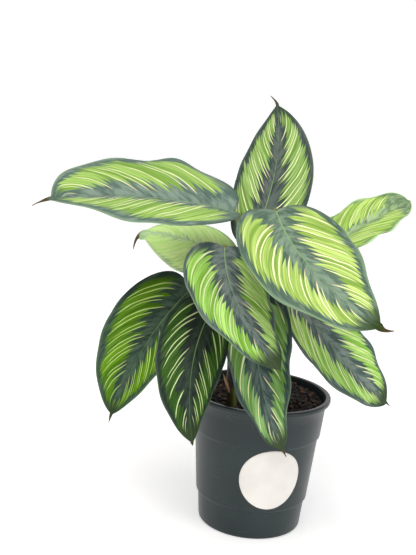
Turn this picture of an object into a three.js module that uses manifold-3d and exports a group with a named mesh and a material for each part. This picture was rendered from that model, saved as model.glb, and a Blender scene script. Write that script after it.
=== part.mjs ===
// Potted calathea: a nursery pot of soil with ten striped leaves on two leafy shoots.
// Millimetres, +Z up. The origin is the middle of the pot's flat base, and the plant's
// best side faces -Y.
import * as THREE from 'three';
import { mergeVertices } from 'three/addons/utils/BufferGeometryUtils.js';
import Module from 'manifold-3d';

const wasm = await Module();
wasm.setup();

// Driving dimensions
// Pieces that touch keep GAP between them, and FACET more where both surfaces are faceted.
const GAP = 0.3;
const FACET = 0.1;

const POT = {
  height: 115,
  lipRadius: 60,
  lipHeight: 4.2,
  wall: 1.2,
  floor: 1.8,
  baseRadius: 43.6,
  topRadius: 57,
  lipRound: 1.2,
  corner: 2.6,
  lowStepZ: 25,
  highStepZ: 81,
  stepOut: 1.6,
  stepRise: 1.3,
  sides: 56,
};
const DRAIN = { count: 6, ring: 29, radius: 4.5, sides: 12 };

// The soil is heaped towards the back by tilt, its rise for each millimetre.
const SOIL = {
  level: 107,
  tilt: 0.05,
  relief: 1.5,
  rings: 8,
  sides: 48,
};

const LABEL = {
  radius: 26,
  thickness: 0.5,
  height: 55,
  azimuth: 18,
  rings: 4,
  sides: 28,
};

// A shoot is a stout sheath that stands in the soil and parts into leaf stalks.
const SHEATH = { depth: 18, straight: 4, top: 138, footRadius: 5, topRadius: 3.8, sides: 14, steps: 6 };
// climb is how far a stalk rises straight, and reach and lean how it bends into its blade.
const STALK = {
  root: 8, radius: 1.6, knobRadius: 2.2, knobLength: 11, sides: 8, steps: 14,
  climb: 0.7, reach: 20, lean: 0.5,
};
const SHOOTS = {
  left: { foot: [-19, -20], lean: [-5, -1] },
  right: { foot: [8, -3], lean: [1, -2] },
};

// Leaf blades. base and tip are the ends of the midrib and face is the way the upper side
// looks. rise arches the midrib off its chord and bend bows it sideways; fold and curl tilt
// the halves, in degrees, at the midrib and towards the edge; twist turns the blade along
// its length, about TWIST_FROM of the way. fullness is the outline's exponent, with small
// values blunt, and skew widens one half. tail is the length of the drip tip, drip its half
// width and hook its sideways and upward curl, along which the drip tip veers. ruffle lifts
// one edge in a single fold.
const WIDEST = 0.38;
const TWIST_FROM = 0.35;
// The share of the length over which the blade flattens before its drip tip.
const TIP_SETTLE = 0.05;
const RUFFLE = { share: 0.272, spread: 0.09 };
const BLADE = { thickness: 0.7, rows: 15, columns: 14 };
const LEAVES = {
  left: {
    shoot: 'left', base: [-33, -12, 265], tip: [-182, -75, 267], face: [0.19, -0.42, 0.88],
    width: 91, rise: 3.6, bend: 9.2, fold: 29, curl: -47, twist: 5, fullness: 0.6,
    lobe: 7.2, skew: 0.04, tail: 15, drip: 1.3, hook: [0, -4], wave: 1.7, waves: 1.9, phase: 0.75, ruffle: 11,
    colour: 0x77a348,
  },
  top: {
    shoot: 'right', base: [-18, 5, 238], tip: [-9, 63, 359], face: [-0.28, -0.86, 0.43],
    width: 68, rise: 6, bend: 12, fold: 4, curl: -21, twist: 4, fullness: 0.94,
    lobe: 7.4, skew: -0.02, tail: 9, drip: 1.3, hook: [-4, 4], wave: 0.6, waves: 3, phase: 0.21, ruffle: 0,
    colour: 0x6d9a44,
  },
  right_back: {
    shoot: 'right', base: [28, 8, 220], tip: [118, 75, 279], face: [-0.33, -0.34, 0.88],
    width: 61, rise: 1.6, bend: -4.9, fold: 24, curl: -31, twist: -35, fullness: 0.5,
    lobe: 6, skew: -0.01, tail: 3, drip: 1.3, hook: [0, -2], wave: 2.1, waves: 2.5, phase: 0.72, ruffle: 0,
    colour: 0x94bd62,
  },
  front_right: {
    shoot: 'right', base: [0, -50, 273], tip: [85, -133, 204], face: [-0.04, -0.66, 0.75],
    width: 80, rise: 9.3, bend: 15.4, fold: 9, curl: 4, twist: -1, fullness: 0.85,
    lobe: 6.7, skew: 0.07, tail: 9, drip: 3, hook: [-5, 0], wave: 2.7, waves: 2.1, phase: 0.22, ruffle: 0,
    colour: 0x86b352,
  },
  front: {
    shoot: 'left', base: [-37, -46, 241], tip: [14, -121, 168], face: [0.31, -0.55, 0.78],
    width: 66, rise: 6.4, bend: 15, fold: 3, curl: -11, twist: 26, fullness: 0.63,
    lobe: 7.1, skew: 0.06, tail: 2, drip: 1.3, hook: [0, 0], wave: 1.4, waves: 2.3, phase: 0.02, ruffle: 0,
    colour: 0x5f8f35,
  },
  low_left: {
    shoot: 'left', base: [-65, -8, 197], tip: [-115, -72, 99], face: [-0.11, -0.8, 0.58],
    width: 75, rise: 10.8, bend: 3.8, fold: 32, curl: -4, twist: -6, fullness: 0.77,
    lobe: 7.1, skew: 0, tail: 7, drip: 1.3, hook: [0, 0], wave: 0.8, waves: 3.1, phase: 0.5, ruffle: 0,
    colour: 0x4f8038,
  },
  low_front_left: {
    shoot: 'left', base: [-40, -49, 198], tip: [-45, -112, 103], face: [0.41, -0.77, 0.48],
    width: 58, rise: 8.6, bend: 13.5, fold: -15, curl: -3, twist: 17, fullness: 0.85,
    lobe: 6, skew: 0, tail: 2, drip: 1.3, hook: [0, 0], wave: 0.9, waves: 3.1, phase: 0.1, ruffle: 0,
    colour: 0x3f6a35,
  },
  low_front: {
    shoot: 'right', base: [-8, -43, 209], tip: [24, -95, 95], face: [-0.65, -0.75, 0.16],
    width: 67, rise: 6.7, bend: 7.3, fold: 4, curl: -15, twist: -39, fullness: 0.54,
    lobe: 5.9, skew: 0, tail: 7, drip: 3, hook: [0, 0], wave: 1.6, waves: 2.2, phase: 0.52, ruffle: 0,
    colour: 0x5d8a42,
  },
  low_right: {
    shoot: 'right', base: [20, -29, 204], tip: [103, -43, 126], face: [0.45, -0.66, 0.6],
    width: 61, rise: 11.1, bend: 13.5, fold: 14, curl: -15, twist: -8, fullness: 0.72,
    lobe: 6.1, skew: 0, tail: 5, drip: 1.3, hook: [0, 0], wave: 1.5, waves: 2.4, phase: 0, ruffle: 0,
    colour: 0x679348,
  },
  left_back: {
    shoot: 'left', base: [-39, 12, 220], tip: [-131, 84, 224], face: [-0.41, -0.55, 0.72],
    width: 57, rise: 5.6, bend: 8.5, fold: -7, curl: -31, twist: 16, fullness: 1.01,
    lobe: 6, skew: -0.01, tail: 12, drip: 5.5, hook: [-11, -7], wave: 0.9, waves: 2.9, phase: 0.29, ruffle: 0,
    colour: 0x9dc078,
  },
};

const MATERIALS = {
  pot: { color: 0x3d4746, roughness: 0.38, metalness: 0 },
  soil: { color: 0x2b201a, roughness: 0.95, metalness: 0 },
  label: { color: 0xece6dc, roughness: 0.55, metalness: 0 },
  shoot: { color: 0x68713c, roughness: 0.5, metalness: 0 },
};

const UP = new THREE.Vector3(0, 0, 1);
const degrees = THREE.MathUtils.degToRad;
const clamp = THREE.MathUtils.clamp;
const vec = (a) => new THREE.Vector3(...a);

// ---- Meshes and solids

function indexed(points, faces) {
  const geometry = new THREE.BufferGeometry();
  const flat = points.flatMap((p) => [p.x, p.y, p.z]);
  geometry.setAttribute('position', new THREE.Float32BufferAttribute(flat, 3));
  geometry.setIndex(faces.flat());
  return geometry;
}

function toSolid(geometry) {
  const bare = geometry.clone();
  for (const name of ['normal', 'uv', 'uv1']) bare.deleteAttribute(name);
  const merged = mergeVertices(bare, 1e-4);
  const mesh = new wasm.Mesh({
    numProp: 3,
    vertProperties: new Float32Array(merged.attributes.position.array),
    triVerts: new Uint32Array(merged.index.array),
  });
  return new wasm.Manifold(mesh);
}

function toGeometry(solid) {
  const mesh = solid.getMesh();
  const geometry = new THREE.BufferGeometry();
  geometry.setAttribute('position', new THREE.BufferAttribute(mesh.vertProperties, 3));
  geometry.setIndex(new THREE.BufferAttribute(mesh.triVerts, 1));
  geometry.computeVertexNormals();
  return geometry;
}

function named(name, geometry, material) {
  geometry.computeVertexNormals();
  const mesh = new THREE.Mesh(geometry, new THREE.MeshStandardMaterial(material));
  mesh.name = name;
  return mesh;
}

// Two faces and a rim between a grid of points on each side of a sheet. Both faces are split
// into the same triangles, so they never cross.
function sheet(lower, upper, rows, columns) {
  const points = [...lower, ...upper];
  const side = lower.length;
  const at = (i, j) => i * (columns + 1) + j;
  const faces = [];
  const quad = (a, b, c, d) => faces.push([a, b, c], [a, c, d]);
  for (let i = 0; i < rows; i++) {
    for (let j = 0; j < columns; j++) {
      const [a, b, c, d] = [at(i, j), at(i + 1, j), at(i + 1, j + 1), at(i, j + 1)];
      quad(a, b, c, d);
      faces.push([a + side, c + side, b + side], [a + side, d + side, c + side]);
    }
  }
  for (let i = 0; i < rows; i++) {
    quad(at(i, 0) + side, at(i + 1, 0) + side, at(i + 1, 0), at(i, 0));
    quad(at(i, columns), at(i + 1, columns), at(i + 1, columns) + side, at(i, columns) + side);
  }
  for (let j = 0; j < columns; j++) {
    quad(at(0, j), at(0, j + 1), at(0, j + 1) + side, at(0, j) + side);
    quad(at(rows, j) + side, at(rows, j + 1) + side, at(rows, j + 1), at(rows, j));
  }
  return indexed(points, faces);
}

// ---- Pot

function wallRadius(z) {
  const slope = (POT.topRadius - POT.baseRadius - 2 * POT.stepOut) / POT.height;
  const steps = [POT.lowStepZ, POT.highStepZ].map((start) => clamp((z - start) / POT.stepRise, 0, 1));
  return POT.baseRadius + slope * z + POT.stepOut * (steps[0] + steps[1]);
}

function potProfile() {
  const lipBottom = POT.height - POT.lipHeight;
  const levels = [
    POT.corner, POT.lowStepZ, POT.lowStepZ + POT.stepRise,
    POT.highStepZ, POT.highStepZ + POT.stepRise, lipBottom,
  ];
  const points = [[0, 0]];
  const inset = POT.corner;
  for (const turn of [0, 30, 60]) {
    const a = degrees(turn);
    points.push([
      wallRadius(inset) - inset + inset * Math.sin(a),
      inset - inset * Math.cos(a),
    ]);
  }
  for (const z of levels) points.push([wallRadius(z), z]);
  const round = POT.lipRound;
  points.push([POT.lipRadius - round, lipBottom]);
  points.push([POT.lipRadius, lipBottom + round]);
  points.push([POT.lipRadius, POT.height - round]);
  points.push([POT.lipRadius - round, POT.height]);
  points.push([POT.topRadius, POT.height]);
  points.push([POT.topRadius - POT.wall, POT.height - round]);
  for (const z of levels.slice(1).reverse()) points.push([wallRadius(z) - POT.wall, z]);
  points.push([wallRadius(POT.floor) - POT.wall - POT.corner / 3, POT.floor]);
  points.push([0, POT.floor]);
  return points.map(([r, z]) => new THREE.Vector2(r, z));
}

function lathe(profile, sides) {
  const geometry = new THREE.LatheGeometry(profile, sides);
  return toSolid(geometry.rotateX(Math.PI / 2));
}

function upright(radius, bottom, top, sides, x, y) {
  const geometry = new THREE.CylinderGeometry(radius, radius, top - bottom, sides);
  geometry.rotateX(Math.PI / 2).translate(x, y, (top + bottom) / 2);
  return toSolid(geometry);
}

function makePot() {
  let pot = lathe(potProfile(), POT.sides);
  for (let i = 0; i < DRAIN.count; i++) {
    const turn = ((i + 0.5) / DRAIN.count) * 2 * Math.PI;
    const [x, y] = [DRAIN.ring * Math.cos(turn), DRAIN.ring * Math.sin(turn)];
    pot = pot.subtract(upright(DRAIN.radius, -1, POT.floor + 1, DRAIN.sides, x, y));
  }
  return named('pot', toGeometry(pot), MATERIALS.pot);
}

// ---- Soil

function soilHeight(x, y) {
  const coarse = Math.sin(0.21 * x + 1.3) * Math.cos(0.17 * y - 0.4);
  const fine = Math.sin(0.63 * x - 0.51 * y) * Math.cos(0.47 * x + 0.58 * y + 2.1);
  return SOIL.level + SOIL.tilt * y + SOIL.relief * (0.55 * coarse + 0.45 * fine);
}

function makeSoil() {
  const inner = (z) => wallRadius(z) - POT.wall - GAP - FACET;
  const low = POT.floor + GAP;
  const points = [new THREE.Vector3(0, 0, low)];
  const faces = [];
  const loop = (radius, height) => {
    const start = points.length;
    for (let k = 0; k < SOIL.sides; k++) {
      const turn = (k / SOIL.sides) * 2 * Math.PI;
      const [x, y] = [radius * Math.cos(turn), radius * Math.sin(turn)];
      points.push(new THREE.Vector3(x, y, height(x, y)));
    }
    return start;
  };
  const join = (a, b) => {
    for (let k = 0; k < SOIL.sides; k++) {
      const next = (k + 1) % SOIL.sides;
      faces.push([a + k, a + next, b + next], [a + k, b + next, b + k]);
    }
  };
  const walls = [
    POT.lowStepZ, POT.lowStepZ + POT.stepRise,
    POT.highStepZ, POT.highStepZ + POT.stepRise,
  ];
  let last = loop(inner(low) - POT.corner / 3, () => low);
  for (let k = 0; k < SOIL.sides; k++) faces.push([0, last + ((k + 1) % SOIL.sides), last + k]);
  for (const z of walls) {
    const next = loop(inner(z), () => z);
    join(last, next);
    last = next;
  }
  const lowest = SOIL.level - SOIL.relief - SOIL.tilt * POT.topRadius;
  const rim = inner(lowest);
  for (let ring = SOIL.rings; ring >= 1; ring--) {
    const next = loop((rim * ring) / SOIL.rings, soilHeight);
    join(last, next);
    last = next;
  }
  const middle = points.push(new THREE.Vector3(0, 0, soilHeight(0, 0))) - 1;
  for (let k = 0; k < SOIL.sides; k++) faces.push([last + k, last + ((k + 1) % SOIL.sides), middle]);
  let soil = toSolid(indexed(points, faces));
  for (const { foot } of Object.values(SHOOTS)) {
    const bottom = SOIL.level - SHEATH.depth - GAP;
    const radius = SHEATH.footRadius + GAP + FACET;
    const hole = upright(radius, bottom, SHEATH.top, SHEATH.sides, ...foot);
    soil = soil.subtract(hole);
  }
  return named('soil', toGeometry(soil), MATERIALS.soil);
}

// ---- Label, a round sticker that follows the tapered wall

function makeLabel() {
  const { radius, thickness, height, azimuth, rings, sides } = LABEL;
  const onWall = (across, along, offset) => {
    const z = height + along;
    const r = wallRadius(z) + offset;
    const turn = degrees(azimuth - 90) + across / wallRadius(height);
    return new THREE.Vector3(r * Math.cos(turn), r * Math.sin(turn), z);
  };
  const face = (offset) => {
    const points = [onWall(0, 0, offset)];
    for (let ring = 1; ring <= rings; ring++) {
      for (let k = 0; k < sides; k++) {
        const turn = (k / sides) * 2 * Math.PI;
        const reach = (radius * ring) / rings;
        points.push(onWall(reach * Math.cos(turn), reach * Math.sin(turn), offset));
      }
    }
    return points;
  };
  const inner = face(GAP + FACET);
  const outer = face(GAP + FACET + thickness);
  const side = outer.length;
  const at = (ring, k) => 1 + (ring - 1) * sides + (k % sides);
  const faces = [];
  for (let k = 0; k < sides; k++) {
    faces.push([0, at(1, k), at(1, k + 1)]);
    faces.push([side, side + at(1, k + 1), side + at(1, k)]);
    for (let ring = 1; ring < rings; ring++) {
      const [a, b, c, d] = [at(ring, k), at(ring + 1, k), at(ring + 1, k + 1), at(ring, k + 1)];
      faces.push([a, b, c], [a, c, d]);
      faces.push([a + side, c + side, b + side], [a + side, d + side, c + side]);
    }
    const [a, b] = [at(rings, k), at(rings, k + 1)];
    faces.push([a, a + side, b + side], [a, b + side, b]);
  }
  return named('label', indexed([...outer, ...inner], faces), MATERIALS.label);
}

// ---- Leaf blades

// The midrib of a leaf as a curve, with the side and normal directions along it.
function midrib(leaf) {
  const base = vec(leaf.base);
  const chord = vec(leaf.tip).sub(base);
  const along = chord.clone().normalize();
  const face = vec(leaf.face);
  face.addScaledVector(along, -face.dot(along)).normalize();
  const control = base.clone().addScaledVector(chord, 0.5);
  control.addScaledVector(face, 2 * leaf.rise);
  control.addScaledVector(along.clone().cross(face), 2 * leaf.bend);
  const curve = new THREE.QuadraticBezierCurve3(base, control, vec(leaf.tip));
  curve.arcLengthDivisions = 400;
  const length = curve.getLength();
  const frame = (share) => {
    const inside = clamp(share, 0, 1);
    const tangent = curve.getTangentAt(inside);
    const point = curve.getPointAt(inside).addScaledVector(tangent, (share - inside) * length);
    const normal = face.clone().addScaledVector(tangent, -face.dot(tangent)).normalize();
    const turn = degrees(leaf.twist) * (TWIST_FROM - inside);
    normal.applyAxisAngle(tangent, turn);
    return { point, tangent, normal, side: tangent.clone().cross(normal) };
  };
  return { length, frame };
}

// A point of the blade with the midrib's normal there, and how far the drip tip has set in.
// m runs along the midrib and q from edge to edge, -1 to 1. Lines of constant m leave the
// midrib and sweep forward to the edge, as the side veins do.
function bladePoint(leaf, rib, m, q, grow = 0) {
  const body = 1 - leaf.tail / rib.length;
  const edge = m + WIDEST * (1 - m) ** 0.9;
  const beyond = clamp((edge - WIDEST) / (body - WIDEST), 0, 1);
  const outline = (leaf.width / 2) * (1 - beyond * beyond) ** leaf.fullness;
  const tail = leaf.drip * clamp((1 - edge) / (1 - body), 0, 1);
  const half = Math.max(outline, tail) * (1 + leaf.skew * Math.sign(q)) + grow;
  const sweep = 0.55 * (1 - Math.exp(-m / 0.12));
  const turn = (Math.abs(q) * Math.PI) / 2;
  const forward = (1 - sweep) * (1 - Math.cos(turn)) + sweep * Math.sin(turn);
  const lobe = (leaf.lobe + grow) * Math.exp(-m / 0.1) * Math.sin(2 * turn) * Math.cos(turn) * 1.3;
  const share = m + (edge - m) * forward - lobe / rib.length;
  const out = half * Math.sin(turn);
  const tilt = degrees(leaf.fold) + degrees(leaf.curl) * (out / leaf.width);
  const drawn = clamp((share - body) / (1 - body), 0, 1);
  const veer = Math.atan2(2 * leaf.hook[0] * drawn, leaf.tail);
  const ripple = leaf.wave * q * q * Math.sqrt(Math.max(0, Math.sin(Math.PI * (0.92 * m + 0.08))));
  const swing = Math.sin(2 * Math.PI * (leaf.waves * m + leaf.phase) + (q > 0 ? 0 : 2.1));
  const apart = (share - RUFFLE.share) / RUFFLE.spread;
  const ruffle = q > 0 ? leaf.ruffle * q * q * Math.exp(-apart * apart) : 0;
  const level = Math.sign(q) * out * Math.cos(tilt);
  const across = level * Math.cos(veer) + leaf.hook[0] * drawn ** 2;
  const lift = out * Math.sin(tilt) + ripple * swing + ruffle + leaf.hook[1] * drawn ** 2;
  const { point, tangent, side, normal } = rib.frame(share);
  point.addScaledVector(tangent, -level * Math.sin(veer));
  point.addScaledVector(side, across).addScaledVector(normal, lift);
  return { point, normal, pointed: THREE.MathUtils.smoothstep(share, body - TIP_SETTLE, body) };
}

function bladeGeometry(leaf, thickness, grow = 0) {
  const rib = midrib(leaf);
  const { rows, columns } = BLADE;
  const grid = [];
  const spread = (i) => 1 - (1 - i / rows) ** 1.15;
  for (let i = 0; i <= rows; i++) {
    for (let j = 0; j <= columns; j++) {
      const m = Math.min(spread(i), 0.997);
      grid.push(bladePoint(leaf, rib, m, (2 * j) / columns - 1, grow));
    }
  }
  const at = (i, j) => grid[clamp(i, 0, rows) * (columns + 1) + clamp(j, 0, columns)];
  const upper = [];
  const lower = [];
  for (let i = 0; i <= rows; i++) {
    for (let j = 0; j <= columns; j++) {
      const { point, normal, pointed } = at(i, j);
      const down = at(i + 1, j).point.clone().sub(at(i - 1, j).point);
      const over = at(i, j + 1).point.clone().sub(at(i, j - 1).point);
      const out = over.cross(down).normalize().lerp(normal, pointed);
      out.setLength(thickness / 2);
      upper.push(point.clone().add(out));
      lower.push(point.clone().sub(out));
    }
  }
  return sheet(lower, upper, rows, columns);
}

function makeBlades() {
  const group = new THREE.Group();
  for (const [name, leaf] of Object.entries(LEAVES)) {
    const material = { color: leaf.colour, roughness: 0.42, metalness: 0 };
    group.add(named(`leaf_${name}`, bladeGeometry(leaf, BLADE.thickness), material));
  }
  return group;
}

// ---- Shoots

// A closed tube along a curve, with its own radius at each share of the length.
function taperedTube(curve, radiusAt, steps, sides) {
  const { tangents, normals, binormals } = curve.computeFrenetFrames(steps, false);
  const points = [];
  const faces = [];
  for (let i = 0; i <= steps; i++) {
    const centre = curve.getPointAt(i / steps);
    const radius = radiusAt(i / steps);
    for (let k = 0; k < sides; k++) {
      const turn = (k / sides) * 2 * Math.PI;
      const point = centre.clone().addScaledVector(normals[i], radius * Math.cos(turn));
      points.push(point.addScaledVector(binormals[i], radius * Math.sin(turn)));
    }
  }
  for (let i = 0; i < steps; i++) {
    for (let k = 0; k < sides; k++) {
      const [a, b] = [i * sides + k, i * sides + ((k + 1) % sides)];
      faces.push([a, b, b + sides], [a, b + sides, a + sides]);
    }
  }
  const last = steps * sides;
  for (let k = 1; k < sides - 1; k++) {
    faces.push([0, k + 1, k], [last, last + k, last + k + 1]);
  }
  return toSolid(indexed(points, faces));
}

function stalkCurve(leaf, shoot, turn) {
  const rib = midrib(leaf);
  const { tangent, normal } = rib.frame(0);
  const end = vec(leaf.base).addScaledVector(tangent, -0.8).addScaledVector(normal, -0.2);
  const offset = SHEATH.topRadius * 0.45;
  const start = new THREE.Vector3(
    shoot.foot[0] + shoot.lean[0] + offset * Math.cos(turn),
    shoot.foot[1] + shoot.lean[1] + offset * Math.sin(turn),
    SHEATH.top - STALK.root,
  );
  const rise = end.z - start.z;
  const arrive = tangent.clone().addScaledVector(normal, STALK.lean).normalize();
  const first = start.clone().addScaledVector(UP, STALK.climb * rise);
  const second = end.clone().addScaledVector(arrive, -STALK.reach);
  return new THREE.CubicBezierCurve3(start, first, second, end);
}

function makeShoot(name, shoot) {
  const leaves = Object.values(LEAVES).filter((leaf) => leaf.shoot === name);
  const [x, y] = shoot.foot;
  const bottom = SOIL.level - SHEATH.depth;
  const straight = SOIL.level + SHEATH.straight;
  let solid = upright(SHEATH.footRadius, bottom, straight, SHEATH.sides, x, y);
  const sheath = new THREE.CatmullRomCurve3([
    new THREE.Vector3(x, y, straight - 1),
    new THREE.Vector3(x, y, (straight + SHEATH.top) / 2),
    new THREE.Vector3(x + shoot.lean[0], y + shoot.lean[1], SHEATH.top),
  ]);
  const taper = (t) => THREE.MathUtils.lerp(SHEATH.footRadius - FACET, SHEATH.topRadius, t);
  solid = solid.add(taperedTube(sheath, taper, SHEATH.steps, SHEATH.sides));
  for (const leaf of leaves) {
    const heading = Math.atan2(leaf.base[1] - y, leaf.base[0] - x);
    const curve = stalkCurve(leaf, shoot, heading);
    const knobFrom = 1 - STALK.knobLength / curve.getLength();
    const radiusAt = (t) => (t < knobFrom ? STALK.radius : STALK.knobRadius);
    solid = solid.add(taperedTube(curve, radiusAt, STALK.steps, STALK.sides));
  }
  for (const leaf of leaves) {
    const clear = bladeGeometry(leaf, BLADE.thickness + 2 * GAP, GAP);
    solid = solid.subtract(toSolid(clear));
  }
  const largest = solid.decompose().sort((a, b) => b.volume() - a.volume())[0];
  return named(`shoot_${name}`, toGeometry(largest), MATERIALS.shoot);
}

const plant = new THREE.Group();
plant.add(makePot());
plant.add(makeSoil());
plant.add(makeLabel());
for (const [name, shoot] of Object.entries(SHOOTS)) plant.add(makeShoot(name, shoot));
plant.add(makeBlades());

export default plant;
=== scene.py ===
"""Potted calathea: striped leaf blades, stalks, soil, pot, sticker, light and camera.

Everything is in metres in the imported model's frame: +Z up, with the origin in the middle of
the pot's base. Leaf forms follow the same curves as the solids that they stand for.
"""
import bmesh
import bpy
import math
import numpy as np
from mathutils import Matrix, Vector, noise


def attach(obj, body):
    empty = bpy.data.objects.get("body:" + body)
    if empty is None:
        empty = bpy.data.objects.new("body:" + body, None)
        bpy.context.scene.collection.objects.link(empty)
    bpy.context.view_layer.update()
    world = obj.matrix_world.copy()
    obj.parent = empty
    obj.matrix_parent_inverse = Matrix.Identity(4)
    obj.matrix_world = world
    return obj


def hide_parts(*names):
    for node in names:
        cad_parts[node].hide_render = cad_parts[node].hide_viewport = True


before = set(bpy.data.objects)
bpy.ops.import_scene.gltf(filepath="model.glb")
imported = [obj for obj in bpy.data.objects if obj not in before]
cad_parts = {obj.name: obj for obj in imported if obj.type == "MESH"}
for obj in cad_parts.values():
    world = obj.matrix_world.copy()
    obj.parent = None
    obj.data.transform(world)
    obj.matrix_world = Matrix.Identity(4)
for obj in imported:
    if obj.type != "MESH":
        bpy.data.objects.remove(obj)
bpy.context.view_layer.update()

MM = 0.001
BODY = "root"

# ---- Sizes, millimetres

POT = dict(
    height=115, lip_radius=60, lip_height=4.2, lip_round=1.2, wall=1.2, floor=1.8,
    base_radius=43.6, top_radius=57, corner=2.6, low_step=25, high_step=81,
    step_out=1.6, step_rise=1.3, sides=192,
)
DRAIN = dict(count=6, ring=29, radius=4.5, sides=40)
SOIL = dict(
    level=107, tilt=0.05, relief=1.5, lumps=1.2, clear=0.4, lift=0.3, foot_clear=1.3,
    levels=(10, 24, 27, 50, 80, 83, 101), rings=64, sides=180,
)
CRUMBS = dict(inset=1.5, shoot_clear=6, lift=0.15, roughness=0.28)
LABEL = dict(
    radius=26, thickness=0.35, skin=0.05, bevel=0.12, height=55, azimuth=18, rings=14, sides=120
)
# brown is the band of heights where the sheath goes near-black, its brown deepened by painted
# shade.
SHEATH = dict(depth=18, top=138, top_radius=3.8, brown=(120, 128), green=(146, 160))
STALK = dict(
    root=8, radius=1.6, knob_radius=2.2, knob_length=11, climb=0.7, reach=20, lean=0.5,
    foot_ring=2.4, flare=1.8, flare_from=105, flare_to=170, taper=0.9, taper_length=2.5,
    sides=20,
)
SHOOTS = {
    "left": dict(foot=(-19, -20), lean=(-5, -1)),
    "right": dict(foot=(8, -3), lean=(1, -2)),
}
BRACT = dict(
    route=((-24.2, -25.2, 118), (-25.8, -26.0, 122), (-28.0, -26.0, 128), (-31.0, -25.0, 133.5)),
    face=(0.25, -1.0, 0.15), half_width=1.35, skin=0.12, cup=0.55, rows=24, columns=10,
)
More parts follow.
